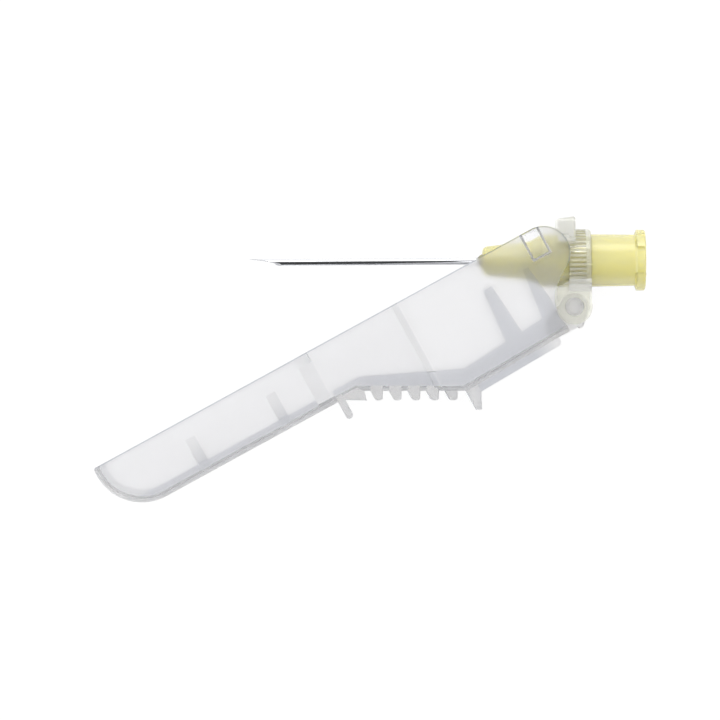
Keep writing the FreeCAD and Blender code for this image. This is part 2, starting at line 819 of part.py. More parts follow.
def lock_pockets():
    """A pocket with sloped sides inside each wall of the head, where the tab comes to lie."""
    mouth_z = HEAD_HALF - WALL
    deep_z = mouth_z + POCKET_DEPTH
    over = SHEATH_TOP + WALL
    across = face(
        [
            V(-POCKET_FRONT - POCKET_SLOPE, 0, mouth_z),
            V(-POCKET_FRONT, 0, deep_z),
            V(-POCKET_REAR, 0, deep_z),
            V(-POCKET_REAR + POCKET_SLOPE, 0, mouth_z),
        ]
    )
    upward = face(
        [
            V(-HEAD_HALF, POCKET_BOTTOM - POCKET_SLOPE, mouth_z),
            V(-HEAD_HALF, POCKET_BOTTOM, deep_z),
            V(-HEAD_HALF, over, deep_z),
            V(-HEAD_HALF, over, mouth_z),
        ]
    )
    pocket = across.extrude(V(0, over, 0)).common(upward.extrude(V(2 * HEAD_HALF, 0, 0)))
    return both_sides(pocket)


def dome_rims():
    """What breaks the outer edge of the dome on each side."""
    centre_y = SHEATH_TOP - DOME_RADIUS
    reach = 2 * EDGE_BREAK
    section = face(
        [
            V(DOME_CENTRE + DOME_RADIUS - reach, centre_y, HEAD_HALF + EDGE_BREAK),
            V(DOME_CENTRE + DOME_RADIUS + reach, centre_y, HEAD_HALF + EDGE_BREAK),
            V(DOME_CENTRE + DOME_RADIUS + reach, centre_y, HEAD_HALF + EDGE_BREAK - 2 * reach),
        ]
    )
    axis_place = V(DOME_CENTRE, centre_y, 0)
    chin_x, chin_y = CHIN_PLACE
    chin_turn = math.degrees(math.atan2(chin_y - centre_y, chin_x - DOME_CENTRE))
    section.rotate(axis_place, Z_AXIS, chin_turn)
    return both_sides(section.revolve(axis_place, Z_AXIS, 90 - chin_turn))


def stiffeners():
    """A thick patch at the top of each wall where the blade widens."""
    low = SHEATH_TOP - STIFFENER_HEIGHT
    patch = face(
        [
            V(-STEP_A_FRONT, low, BLADE_HALF - WALL),
            V(-STEP_A_REAR, low, BLADE_HALF - WALL),
            V(-STEP_A_REAR, low, MID_HALF - WALL / 2),
            V(-STEP_A_FRONT, low, BLADE_HALF - WALL / 2),
        ]
    )
    return both_sides(patch.extrude(V(0, STIFFENER_HEIGHT, 0)))


def gate_marks():
    """A round shallow mark inside each wall of the head."""
    face_half = HEAD_HALF - WALL
    mark = Part.makeCylinder(
        GATE_RADIUS, WALL, V(GATE_PLACE[0], GATE_PLACE[1], face_half + GATE_DEPTH - WALL), Z_AXIS
    )
    return both_sides(mark)


def make_sheath():
    """Hinged sheath, one moulding, shaped closed and then swung open."""
    shell = sheath_outside().common(head_profile()).cut(dome_rims())
    shell = fused([shell] + finger_pad())
    shell = shell.cut(sheath_inside())
    shell = shell.fuse(inner_ribs() + stiffeners())
    shell = shell.cut(lock_pockets())
    shell = shell.cut(gate_marks())
    ear_room = Part.makeCylinder(
        EAR_CUT_RADIUS, 4 * HEAD_HALF, V(0, 0, -2 * HEAD_HALF), Z_AXIS
    )
    shell = shell.cut(ear_room)
    sheath = fused([shell] + knuckle())
    sheath.rotate(ORIGIN, Z_AXIS, OPEN_ANGLE)
    sheath.translate(PIN_PLACE)
    return sheath


def write(name, shape):
    """Write one piece to its own file."""
    shape.exportStep(os.path.join("parts", name + ".step"))
    print(name, "solids", len(shape.Solids), "valid", shape.isValid(), "mm3", round(shape.Volume, 3))


os.makedirs("parts", exist_ok=True)
write("cannula", make_cannula())
write("needle_hub", make_needle_hub())
write("glue_bead", make_glue_bead())
write("swivel_collar", make_swivel_collar())
write("sheath", make_sheath())
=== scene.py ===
import math

import bpy
from bpy.props import FloatProperty, FloatVectorProperty, PointerProperty
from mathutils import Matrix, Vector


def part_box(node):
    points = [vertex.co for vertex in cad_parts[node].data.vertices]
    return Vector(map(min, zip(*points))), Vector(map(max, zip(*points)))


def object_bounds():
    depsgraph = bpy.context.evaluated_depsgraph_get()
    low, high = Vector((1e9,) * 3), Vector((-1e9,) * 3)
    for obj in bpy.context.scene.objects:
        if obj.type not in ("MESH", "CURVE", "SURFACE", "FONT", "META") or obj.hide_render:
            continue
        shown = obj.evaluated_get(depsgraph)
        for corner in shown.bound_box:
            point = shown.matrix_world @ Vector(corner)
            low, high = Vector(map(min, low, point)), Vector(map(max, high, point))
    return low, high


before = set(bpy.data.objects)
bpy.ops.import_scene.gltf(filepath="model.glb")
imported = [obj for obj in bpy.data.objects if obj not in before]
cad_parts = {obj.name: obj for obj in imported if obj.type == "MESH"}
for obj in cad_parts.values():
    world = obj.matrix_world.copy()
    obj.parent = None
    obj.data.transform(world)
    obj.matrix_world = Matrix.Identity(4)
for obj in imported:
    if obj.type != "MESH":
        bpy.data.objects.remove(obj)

bl_info = {
    "name": "Safety hypodermic needle",
    "version": (1, 0, 0),
    "blender": (4, 5, 0),
    "location": "3D View > Sidebar > Needle",
    "description": "Finishes for a needle with a luer hub, a turning collar and a hinged sheath",
    "category": "Object",
}

# Metres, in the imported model's frame: +X out of the luer mouth, +Z up as the needle lies.
MM = 0.001
FRAME_LOW, FRAME_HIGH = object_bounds()
POINT_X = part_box("cannula")[0].x
MIDDLE = 0.5 * (FRAME_LOW + FRAME_HIGH)

# The sheath, from its hinge pin and turned closed. Its half width grows in two steps.
PIN_PLACE = (-9.13 * MM, -5.95 * MM, 0.0)
SHEATH_TURN = math.radians(28.35)
BLADE_HALF = 2.95 * MM
WIDENINGS = ((-34.7 * MM, -32.7 * MM, 0.85 * MM), (-20.5 * MM, -19.55 * MM, 1.05 * MM))
WALL = 0.7 * MM
EDGE = 0.15 * MM
RIM_FADE = 0.015 * MM
RIM_HEIGHT = 11.34 * MM
DOME_PLACE = (-0.3 * MM, 7.92 * MM, 0.0)
DOME_RADIUS = 3.42 * MM
CHIN_HEIGHT = 5.2 * MM

# Where its plastic is thick, along the sheath and inwards from its side face, grey shade is
# painted.
THICK_DEPTH = 1.28 * MM
THICK_FADE = 0.03 * MM
BLADE_REAR = -32.0 * MM
BLADE_LEDGE = 5.5 * MM
TRAP_CLEARING = 0.7
KNUCKLE_FRONT = -2.3 * MM
ARM_START = -7.2 * MM
ARM_END = -4.2 * MM
ARM_DEPTH = 2.2 * MM

# The collar's grip ribs, from the hub's axis. Shade is painted between them.
GROOVE_RADIUS = 3.66 * MM
CREST_RADIUS = 3.98 * MM

# Patterns in the finishes: how many octaves, and how strong the finer ones are.
PATTERN_LOW = 0.3
PATTERN_HIGH = 0.7
SWIRL_PATTERN = (3.0, 0.55)
PIT_PATTERN = (2.0, 0.6)
STREAK_PATTERN = (3.0, 0.5)
GRAIN_PATTERN = (2.0, 0.5)
RIPPLE_PATTERN = (1.0, 0.5)
FIBRE_PATTERN = (2.0, 0.5)

# Their relief: strength and height.
PIT_RELIEF = (0.01, 0.02 * MM)
STREAK_RELIEF = (0.05, 0.05 * MM)
GRAIN_RELIEF = (0.1, 0.01 * MM)
RIPPLE_RELIEF = (0.1, 0.05 * MM)

# Their roughness: how far below and above the finish's own it goes.
SWIRL_ROUGHNESS = (0.03, 0.03)
STREAK_ROUGHNESS = (0.04, 0.04)
GRAIN_ROUGHNESS = (0.04, 0.05)
RIPPLE_ROUGHNESS = (0.03, 0.05)

# The plastics and the adhesive.
PLASTIC_IOR = 1.49
ADHESIVE_IOR = 1.5
NATURAL_FORWARD = 0.3
YELLOW_FORWARD = 0.2
SWIRL_SHADE = 0.03
STREAK_SHADE = 0.97
STREAK_STRETCH = (0.35, 1.0, 1.0)
RIPPLE_WIDTH = 1.0 * MM
ETCH_START = 0.4 * WALL
ETCH_END = 0.6 * WALL

# The steel.
GRAIN_SHADE = 0.9
GROUND_ROUGHNESS = 0.08
GROUND_FADE = 0.1

# The room's floor and walls.
PAPER_COLOURS = ("#F4F4F4", "#F2F2F2")
PAPER_FIBRE = 2.5 * MM
PAPER_GLOW = 1.03
PAPER_WHITE = 0.9
FLOOR_NEAR_END = 70 * MM
FLOOR_FAR_START = 160 * MM
CARD_SPAN = (0.1, 0.6)
SKY_SPAN = (0.1, 0.9)

# The camera, and how often light may turn inside the plastic.
SENSOR_WIDTH = 36
FAR_CLIP = 10
HAZE_TURNS = 8
CLEAR_TURNS = 24


def colour_of(hex_code):
    """Linear RGB of an sRGB hex colour."""
    shares = [int(hex_code[i : i + 2], 16) / 255 for i in (1, 3, 5)]
    return tuple(c / 12.92 if c <= 0.04045 else ((c + 0.055) / 1.055) ** 2.4 for c in shares)


def with_alpha(colour):
    """A colour as a socket takes it."""
    return (*colour, 1.0)


class SheathFinish(bpy.types.PropertyGroup):
    """Natural polypropylene of the sheath."""

    colour: FloatVectorProperty(
        name="Colour",
        description="Tint that the plastic gives to light passing through its skin",
        default=colour_of("#FDFDFE"),
        subtype="COLOR",
        min=0,
        max=1,
    )
    # Painted shade: the grey of thick ledges and ribs is painted into the sheath's colour.
    painted_thick_shade: FloatVectorProperty(
        name="Thick colour",
        description="Tint of ledges and ribs, where the plastic is thick and cooled slowly",
        default=colour_of("#DCDEE4"),
        subtype="COLOR",
        min=0,
        max=1,
    )
    # Painted shade: the darker edges of the open top and the dome are painted into the sheath's
    # colour.
    painted_rim_shade: FloatVectorProperty(
        name="Rim colour",
        description="Tint of the edges of the open top and the dome",
        default=colour_of("#B8BDC6"),
        subtype="COLOR",
        min=0,
        max=1,
    )
    clearness: FloatProperty(
        name="Clearness",
        description="Share of light that passes the skin",
        default=1.0,
        min=0,
        max=1,
        subtype="FACTOR",
    )
    haze: FloatProperty(
        name="Haze",
        description="Scattering inside the plastic, per metre",
        default=160,
        min=0,
    )
    haze_colour: FloatVectorProperty(
        name="Haze colour",
        description="Colour of the light that the haze scatters",
        default=colour_of("#F4F6FA"),
        subtype="COLOR",
        min=0,
        max=1,
    )
    polish: FloatProperty(
        name="Polish",
        description="Roughness of the outer skin",
        default=0.16,
        min=0,
        max=1,
        subtype="FACTOR",
    )
    frost: FloatProperty(
        name="Frost",
        description="Roughness of the etched inner skin",
        default=0.4,
        min=0,
        max=1,
        subtype="FACTOR",
    )
    etch: FloatProperty(
        name="Etch size",
        description="Width of a pit in the etched skin, drawn coarser than life so that it shows",
        default=0.12 * MM,
        unit="LENGTH",
    )
    flow: FloatProperty(
        name="Flow size",
        description="Width of the faint flow swirls in the moulding",
        default=5.0 * MM,
        unit="LENGTH",
    )


class CollarFinish(bpy.types.PropertyGroup):
    """Natural polypropylene of the collar, a little warmer than the sheath's."""

    colour: FloatVectorProperty(
        name="Colour",
        description="Tint that the plastic gives to light passing through its skin",
        default=colour_of("#F8F8F0"),
        subtype="COLOR",
        min=0,
        max=1,
    )
    # Painted shade: the darker, warm tone between the grip ribs is painted into the collar's
    # colour.
    painted_groove_shade: FloatVectorProperty(
        name="Groove colour",
        description="Tint between the grip ribs, where light is caught",
        default=colour_of("#D9D5AE"),
        subtype="COLOR",
        min=0,
        max=1,
    )
    clearness: FloatProperty(
        name="Clearness",
        description="Share of light that passes the skin",
        default=0.82,
        min=0,
        max=1,
        subtype="FACTOR",
    )
    haze: FloatProperty(
        name="Haze",
        description="Scattering inside the plastic, per metre",
        default=220,
        min=0,
    )
    haze_colour: FloatVectorProperty(
        name="Haze colour",
        description="Colour of the light that the haze scatters",
        default=colour_of("#D8D7C8"),
        subtype="COLOR",
        min=0,
        max=1,
    )
    polish: FloatProperty(
        name="Polish",
        description="Roughness of the skin",
        default=0.11,
        min=0,
        max=1,
        subtype="FACTOR",
    )
    etch: FloatProperty(
        name="Etch size",
        description="Width of a pit in the skin, drawn coarser than life so that it shows",
        default=0.12 * MM,
        unit="LENGTH",
    )
    flow: FloatProperty(
        name="Flow size",
        description="Width of the faint flow swirls in the moulding",
        default=5.0 * MM,
        unit="LENGTH",
    )


class HubFinish(bpy.types.PropertyGroup):
    """Translucent yellow polypropylene of the hub."""

    colour: FloatVectorProperty(
        name="Colour",
        description="Yellow that marks the gauge of the needle",
        default=colour_of("#F4EEAC"),
        subtype="COLOR",
        min=0,
        max=1,
    )
    haze_colour: FloatVectorProperty(
        name="Haze colour",
        description="Colour of the light that the pigment scatters",
        default=colour_of("#F6EA74"),
        subtype="COLOR",
        min=0,
        max=1,
    )
    haze: FloatProperty(
        name="Haze",
        description="Scattering inside the plastic, per metre",
        default=500,
        min=0,
    )
    clearness: FloatProperty(
        name="Clearness",
        description="Share of light that passes the skin",
        default=0.65,
        min=0,
        max=1,
        subtype="FACTOR",
    )
    gloss: FloatProperty(
        name="Roughness",
        description="Roughness of the polished mould skin",
        default=0.24,
        min=0,
        max=1,
        subtype="FACTOR",
    )
    flow: FloatProperty(
        name="Flow size",
        description="Width of the streaks that the pigment leaves",
        default=2.5 * MM,
        unit="LENGTH",
    )


class SteelFinish(bpy.types.PropertyGroup):
    """Drawn stainless steel of the cannula."""

    colour: FloatVectorProperty(
        name="Colour",
        description="Colour of the bare steel",
        default=colour_of("#DBDCDF"),
        subtype="COLOR",
        min=0,
        max=1,
    )
    roughness: FloatProperty(
        name="Roughness",
        description="Roughness of the drawn surface",
        default=0.15,
        min=0,
        max=1,
        subtype="FACTOR",
    )
    grain_width: FloatProperty(
        name="Grain width",
        description="Width of a drawing line, coarser than life so that it shows",
        default=0.05 * MM,
        unit="LENGTH",
    )
    grain_length: FloatProperty(
        name="Grain length",
        description="Length of a drawing line",
        default=6.0 * MM,
        unit="LENGTH",
    )
    bevel_length: FloatProperty(
        name="Bevel length",
        description="Length of the ground point",
        default=4.0 * MM,
        unit="LENGTH",
    )


class AdhesiveFinish(bpy.types.PropertyGroup):
    """Cured adhesive round the cannula."""

    colour: FloatVectorProperty(
        name="Colour",
        description="Faint straw tint of the cured adhesive",
        default=colour_of("#FBF6DC"),
        subtype="COLOR",
        min=0,
        max=1,
    )
    clearness: FloatProperty(
        name="Clearness",
        description="Share of light that passes the skin",
        default=0.9,
        min=0,
        max=1,
        subtype="FACTOR",
    )
    roughness: FloatProperty(
        name="Roughness",
        description="Roughness of the surface that set in air",
        default=0.12,
        min=0,
        max=1,
        subtype="FACTOR",
    )


class StudioSettings(bpy.types.PropertyGroup):
    """Camera, lamps and floor."""

    camera_height: FloatProperty(
        name="Camera height",
        description="Height of the camera over the hub's axis",
        default=530 * MM,
        unit="LENGTH",
    )
    view_width: FloatProperty(
        name="View width",
        description="Width that the camera sees at the hub's axis",
        default=92.3 * MM,
        unit="LENGTH",
    )
    aim: FloatVectorProperty(
        name="Aim",
        description="Place under the camera",
        default=(-36.55 * MM, -12.58 * MM),
        size=2,
        unit="LENGTH",
    )
    roll: FloatProperty(
        name="Roll",
        description="Turn of the camera about its line of sight",
        default=math.radians(-0.35),
        subtype="ANGLE",
    )
    key_place: FloatVectorProperty(
        name="Key lamp's place",
        description="Centre of the key lamp",
        default=(-0.03, 0.38, 0.22),
        subtype="TRANSLATION",
        unit="LENGTH",
    )
    key_size: FloatVectorProperty(
        name="Key lamp's size",
        description="Width and height of the key lamp",
        default=(0.4, 0.25),
        size=2,
        unit="LENGTH",
    )
    fill_place: FloatVectorProperty(
        name="Fill lamp's place",
        description="Centre of the fill lamp",
        default=(-0.03, 0.05, 0.45),
        subtype="TRANSLATION",
        unit="LENGTH",
    )
    fill_size: FloatVectorProperty(
        name="Fill lamp's size",
        description="Width and height of the fill lamp",
        default=(0.4, 0.4),
        size=2,
        unit="LENGTH",
    )
    floor_size: FloatProperty(
        name="Floor size",
        description="Width of the floor",
        default=4.0,
        unit="LENGTH",
    )
    key_power: FloatProperty(
        name="Key lamp",
        description="Power of the large soft lamp above the collar's tab side",
        default=1.15,
        unit="POWER",
    )
    fill_power: FloatProperty(
        name="Fill lamp",
        description="Power of the lamp overhead, which gloss doesn't show",
        default=0.9,
        unit="POWER",
    )
    room_light: FloatProperty(
        name="Room light",
        description="Strength of the even light from all round",
        default=1.0,
        min=0,
    )
    sky: FloatProperty(
        name="Overhead",
        description="White that clear plastic shows from overhead",
        default=0.95,
        min=0,
        max=1,
    )
    horizon: FloatProperty(
        name="Horizon",
        description="White that clear plastic shows from the sides",
        default=0.78,
        min=0,
        max=1,
    )
    card: FloatProperty(
        name="Dark card",
        description="White that gloss shows on the side away from the collar's tab",
        default=0.06,
        min=0,
        max=1,
    )
    floor_gloss: FloatProperty(
        name="Floor in gloss",
        description="White that gloss shows from the floor",
        default=0.18,
        min=0,
        max=1,
    )
    floor_near: FloatProperty(
        name="Floor below",
        description="White that clear plastic shows from the floor below the object",
        default=0.92,
        min=0,
        max=1,
    )
    floor_edge: FloatProperty(
        name="Floor edge",
        description="White that clear plastic shows from the floor far from the object",
        default=0.7,
        min=0,
        max=1,
    )


def add_node(tree, kind, inputs=None, **settings):
    """Add a node, give it its settings, and fill or link its inputs."""
    node = tree.nodes.new(kind)
    for name, value in settings.items():
        setattr(node, name, value)
    for name, value in (inputs or {}).items():
        if isinstance(value, bpy.types.NodeSocket):
            tree.links.new(value, node.inputs[name])
        else:
            node.inputs[name].default_value = value
    return node


def new_material(name):
    """An empty material, its node tree and its output."""
    material = bpy.data.materials.new(name)
    material.use_nodes = True
    tree = material.node_tree
    tree.nodes.clear()
    return material, tree, tree.nodes.new("ShaderNodeOutputMaterial")


def object_place(tree):
    """The Object coordinate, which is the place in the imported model's frame."""
    return add_node(tree, "ShaderNodeTexCoord").outputs["Object"]


def ramp(tree, value, low, high, out_low, out_high):
    """A value taken from one range to another, held at its ends."""
    inputs = {
        "Value": value,
        "From Min": low,
        "From Max": high,
        "To Min": out_low,
        "To Max": out_high,
    }
    return add_node(tree, "ShaderNodeMapRange", inputs).outputs["Result"]


def spread(tree, pattern, middle, reach):
    """A pattern taken to a value a little below or above a middle one."""
    below, above = reach
    return ramp(tree, pattern, PATTERN_LOW, PATTERN_HIGH, middle - below, middle + above)


def mixed(tree, share, first, second):
    """A colour between two others."""
    inputs = {"Factor": share, "A": first, "B": second}
    return add_node(tree, "ShaderNodeMix", inputs, data_type="RGBA").outputs["Result"]


def noise(tree, place, scale, pattern):
    """A soft random pattern."""
    detail, roughness = pattern
    inputs = {"Vector": place, "Scale": scale, "Detail": detail, "Roughness": roughness}
    return add_node(tree, "ShaderNodeTexNoise", inputs).outputs["Fac"]


def stretched(tree, place, scale):
    """A place with its axes scaled."""
    inputs = {"Vector": place, "Scale": scale}
    return add_node(tree, "ShaderNodeMapping", inputs).outputs["Vector"]


def relief(tree, height, amount):
    """The surface's direction, tilted by a fine relief."""
    strength, distance = amount
    inputs = {"Height": height, "Strength": strength, "Distance": distance}
    return add_node(tree, "ShaderNodeBump", inputs).outputs["Normal"]


def along(tree, place, axis):
    """One part of a place, along an axis."""
    return add_node(tree, "ShaderNodeSeparateXYZ", {"Vector": place}).outputs[axis]


def maths(tree, operation, first, second=0.0):
    """One sum on two values."""
    inputs = {0: first, 1: second}
    return add_node(tree, "ShaderNodeMath", inputs, operation=operation).outputs["Value"]


def vectors(tree, operation, first, second, output="Vector"):
    """One sum on two places."""
    inputs = {0: first, 1: second}
    return add_node(tree, "ShaderNodeVectorMath", inputs, operation=operation).outputs[output]


def sheath_place(tree, place):
    """X and Y of a place in the closed sheath, measured from its hinge pin."""
    inputs = {"Vector": place, "Center": PIN_PLACE, "Angle": -SHEATH_TURN}
    turned = add_node(tree, "ShaderNodeVectorRotate", inputs).outputs["Vector"]
    from_pin = vectors(tree, "SUBTRACT", turned, PIN_PLACE)
    return along(tree, from_pin, "X"), along(tree, from_pin, "Y")


def depth_in_wall(tree, place, x):
    """How far a place lies inside the sheath's side face, along Z."""
    half = BLADE_HALF
    for start, end, growth in WIDENINGS:
        half = maths(tree, "ADD", ramp(tree, x, start, end, 0.0, growth), half)
    return maths(tree, "SUBTRACT", half, maths(tree, "ABSOLUTE", along(tree, place, "Z")))


def painted_shade_where_thick(tree, depth, x, y):
    """Where the plastic is thick and grey shade is painted: ledges and ribs, but not the thin
    needle traps or the hinge.
    """
    in_trap = maths(
        tree,
        "MULTIPLY",
        ramp(tree, x, BLADE_REAR, BLADE_REAR + EDGE, 1.0, 0.0),
        ramp(tree, y, BLADE_LEDGE, BLADE_LEDGE + EDGE, 0.0, TRAP_CLEARING),
    )
    in_arm = maths(
        tree,
        "MULTIPLY",
        ramp(tree, x, ARM_START, ARM_END, 0.0, 1.0),
        ramp(tree, depth, ARM_DEPTH, ARM_DEPTH + EDGE, 0.0, 1.0),
    )
    at_pin = ramp(tree, x, KNUCKLE_FRONT, KNUCKLE_FRONT + EDGE, 0.0, 1.0)
    share = ramp(tree, depth, THICK_DEPTH, THICK_DEPTH + THICK_FADE, 0.0, 1.0)
    for left_out in (at_pin, in_trap, in_arm):
        share = maths(tree, "MULTIPLY", share, maths(tree, "SUBTRACT", 1.0, left_out))
    return share


def broken_edge(tree, distance, reach):
    """The narrow chamfer just short of an edge."""
    return ramp(tree, distance, reach - EDGE - RIM_FADE, reach - EDGE + RIM_FADE, 0.0, 1.0)


def rims(tree, x, y):
    """The open top's edges and the dome's, where shade is painted for the light that runs out
    along the wall.
    """
    flat = add_node(tree, "ShaderNodeCombineXYZ", {"X": x, "Y": y}).outputs["Vector"]
    from_dome = vectors(tree, "DISTANCE", flat, DOME_PLACE, "Value")
    on_dome = broken_edge(tree, from_dome, DOME_RADIUS)
    behind = ramp(tree, x, 0.0, EDGE, 0.0, 1.0)
    over_chin = ramp(tree, y, CHIN_HEIGHT, CHIN_HEIGHT + EDGE, 0.0, 1.0)
    for part in (behind, over_chin):
        on_dome = maths(tree, "MULTIPLY", on_dome, part)
    return maths(tree, "MAXIMUM", broken_edge(tree, y, RIM_HEIGHT), on_dome)


def grip_grooves(tree, place):
    """The valleys between the collar's grip ribs, by distance from the hub's axis, where shade is
    painted.
    """
    across = vectors(tree, "MULTIPLY", place, (0, 1, 1))
    radius = vectors(tree, "LENGTH", across, (0, 0, 0), "Value")
    over_bore = ramp(tree, radius, GROOVE_RADIUS - EDGE, GROOVE_RADIUS, 0.0, 1.0)
    under_crest = ramp(tree, radius, GROOVE_RADIUS + EDGE, CREST_RADIUS, 1.0, 0.0)
    return maths(tree, "MULTIPLY", over_bore, under_crest)


def sheath_skin(tree, place, finish):
    """The sheath's tint, with grey shade painted where it is thick and at its rims, and how its
    inside is etched.
    """
    x, y = sheath_place(tree, place)
    depth = depth_in_wall(tree, place, x)
    thick = painted_shade_where_thick(tree, depth, x, y)
    # Painted shade: grey is painted where the plastic is thick, and a darker grey at the rims.
    colour = mixed(tree, thick, with_alpha(finish.colour), with_alpha(finish.painted_thick_shade))
    colour = mixed(tree, rims(tree, x, y), colour, with_alpha(finish.painted_rim_shade))
    etched = ramp(tree, depth, ETCH_START, ETCH_END, 0.0, finish.frost - finish.polish)
    return colour, etched


def collar_skin(tree, place, finish):
    """The collar's tint, with warm shade painted between its grip ribs. It is polished all over.
    """
    grooves = grip_grooves(tree, place)
    # Painted shade: the grooves between the ribs get a darker, warm tint.
    colour = mixed(tree, grooves, with_alpha(finish.colour), with_alpha(finish.painted_groove_shade))
    return colour, 0.0


def clear_shell(tree, output, surface, finish, forward):
    """A clear skin round an inside that scatters light, mostly forwards."""
    shader = add_node(tree, "ShaderNodeBsdfPrincipled", {"IOR": PLASTIC_IOR, **surface})
    haze = {
        "Color": with_alpha(finish.haze_colour),
        "Density": finish.haze,
        "Anisotropy": forward,
    }
    inside = add_node(tree, "ShaderNodeVolumeScatter", haze)
    tree.links.new(shader.outputs["BSDF"], output.inputs["Surface"])
    tree.links.new(inside.outputs["Volume"], output.inputs["Volume"])


def natural_polypropylene(name, finish, skin):
    """Moulded natural polypropylene.

    It is milky: thin walls let the background through with a soft blur, and the pale grey of
    thick places, ribs and edges is painted shade. The sheath's outer skin is polished and its
    inner skin is etched, so its ribs and ledges read crisply and what lies inside it reads
    softly.
    """
    material, tree, output = new_material(name)
    place = object_place(tree)
    swirl = noise(tree, place, 1 / finish.flow, SWIRL_PATTERN)
    pits = noise(tree, place, 1 / finish.etch, PIT_PATTERN)
    colour, etched = skin(tree, place, finish)
    polished = spread(tree, swirl, finish.polish, SWIRL_ROUGHNESS)
    shade = maths(tree, "MULTIPLY", swirl, SWIRL_SHADE)
    surface = {
        "Base Color": mixed(tree, shade, colour, with_alpha((0, 0, 0))),
        "Roughness": maths(tree, "ADD", polished, etched),
        "Transmission Weight": finish.clearness,
        "Normal": relief(tree, pits, PIT_RELIEF),
    }
    clear_shell(tree, output, surface, finish, NATURAL_FORWARD)
    return material


def yellow_polypropylene(finish):
    """Moulded polypropylene with a yellow pigment.

    It glows where light passes through thin walls, deepens to mustard along its lower edges,
    and its polished skin keeps broad soft highlights.
    """
    material, tree, output = new_material("yellow polypropylene")
    place = stretched(tree, object_place(tree), STREAK_STRETCH)
    streaks = noise(tree, place, 1 / finish.flow, STREAK_PATTERN)
    faded = [STREAK_SHADE * c for c in finish.colour]
    surface = {
        "Base Color": mixed(tree, streaks, with_alpha(finish.colour), with_alpha(faded)),
        "Roughness": spread(tree, streaks, finish.gloss, STREAK_ROUGHNESS),
        "Transmission Weight": finish.clearness,
        "Normal": relief(tree, streaks, STREAK_RELIEF),
    }
    clear_shell(tree, output, surface, finish, YELLOW_FORWARD)
    return material


def drawn_steel(finish):
    """Stainless steel tube, drawn and electropolished, ground at the point.

    Fine lines run along the tube and stretch its highlight into a clean band, and the ground
    bevel is a little duller.
    """
    material, tree, output = new_material("drawn stainless steel")
    place = object_place(tree)
    lines = (1 / finish.grain_length, 1 / finish.grain_width, 1 / finish.grain_width)
    grain = noise(tree, stretched(tree, place, lines), 1.0, GRAIN_PATTERN)
    bevel_end = POINT_X + finish.bevel_length
    bevel_start = bevel_end - GROUND_FADE * finish.bevel_length
    ground = ramp(tree, along(tree, place, "X"), bevel_end, bevel_start, 0.0, GROUND_ROUGHNESS)
    drawn = spread(tree, grain, finish.roughness, GRAIN_ROUGHNESS)
    worn = [GRAIN_SHADE * c for c in finish.colour]
    surface = {
        "Base Color": mixed(tree, grain, with_alpha(finish.colour), with_alpha(worn)),
        "Roughness": maths(tree, "ADD", drawn, ground),
        "Metallic": 1.0,
        "Normal": relief(tree, grain, GRAIN_RELIEF),
    }
    shader = add_node(tree, "ShaderNodeBsdfPrincipled", surface)
    tree.links.new(shader.outputs["BSDF"], output.inputs["Surface"])
    return material


def clear_adhesive(finish):
    """Cured clear adhesive.

    A glassy bead with a faint straw tint, which lets the tube and the yellow well show.
    """
    material, tree, output = new_material("cured clear adhesive")
    ripple = noise(tree, object_place(tree), 1 / RIPPLE_WIDTH, RIPPLE_PATTERN)
    surface = {
        "Base Color": with_alpha(finish.colour),
        "Roughness": spread(tree, ripple, finish.roughness, RIPPLE_ROUGHNESS),
        "IOR": ADHESIVE_IOR,
        "Transmission Weight": finish.clearness,
        "Normal": relief(tree, ripple, RIPPLE_RELIEF),
    }
    shader = add_node(tree, "ShaderNodeBsdfPrincipled", surface)
    tree.links.new(shader.outputs["BSDF"], output.inputs["Surface"])
    return material


def seen_ways(tree):
    """Which way a ray comes: from the camera, off a gloss, or out through clear plastic."""
    rays = add_node(tree, "ShaderNodeLightPath").outputs
    through = rays["Is Transmission Ray"]
    inputs = {0: rays["Is Glossy Ray"], 1: through}
    glossy = add_node(tree, "ShaderNodeMath", inputs, operation="SUBTRACT", use_clamp=True)
    return rays["Is Camera Ray"], glossy.outputs["Value"], through


def weighed(tree, pairs):
    """The sum of each value times its share."""
    total = 0.0
    for value, share in pairs:
        total = maths(tree, "ADD", maths(tree, "MULTIPLY", value, share), total)
    return total


def white_floor(settings):
    """Matt white paper, which shows as plain white with the object's faint shadow."""
    material, tree, output = new_material("white paper")
    place = object_place(tree)
    fibre = noise(tree, place, 1 / PAPER_FIBRE, FIBRE_PATTERN)
    light, dark = [with_alpha(colour_of(code)) for code in PAPER_COLOURS]
    matt = add_node(tree, "ShaderNodeBsdfDiffuse", {"Color": mixed(tree, fibre, light, dark)})
    white = {"Color": with_alpha((1, 1, 1)), "Strength": PAPER_GLOW}
    glow = add_node(tree, "ShaderNodeEmission", white)
    away = vectors(tree, "DISTANCE", place, tuple(MIDDLE), "Value")
    below = ramp(
        tree, away, FLOOR_NEAR_END, FLOOR_FAR_START, settings.floor_near, settings.floor_edge
    )
    camera, glossy, through = seen_ways(tree)
    pairs = [(camera, PAPER_WHITE), (glossy, settings.floor_gloss), (through, below)]
    both = {
        "Fac": weighed(tree, pairs),
        1: matt.outputs["BSDF"],
        2: glow.outputs["Emission"],
    }
    paper = add_node(tree, "ShaderNodeMixShader", both)
    tree.links.new(paper.outputs["Shader"], output.inputs["Surface"])
    return material


